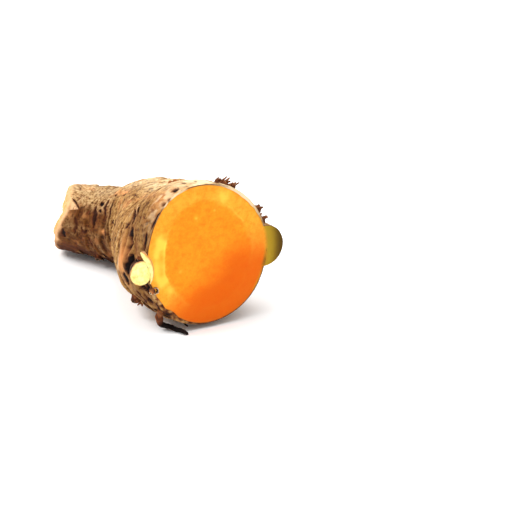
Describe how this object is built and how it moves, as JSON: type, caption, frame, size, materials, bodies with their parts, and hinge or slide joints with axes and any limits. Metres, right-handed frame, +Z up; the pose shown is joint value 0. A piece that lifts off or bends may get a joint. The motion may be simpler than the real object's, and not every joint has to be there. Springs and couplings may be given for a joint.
{
  "type": "turmeric root",
  "caption": "Swollen ringed rhizome piece, cut flat across its wide end and snapped off at its narrow bent end, with side buds, broken root stubs and thin rootlets.",
  "frame": {"origin": "centre of the small flat spot under the belly, on the table", "axes": "+X is the outward normal of the cut face, +Z is up, and -Y is the side with the small cream bud"},
  "size_m": [0.0769, 0.0427, 0.037],
  "materials": {
    "turmeric_rhizome": "dry papery brown skin over orange flesh that is bare at the cut end"
  },
  "bodies": {
    "root": {"turmeric_rhizome": "turmeric_rhizome"}
  },
  "joints": []
}
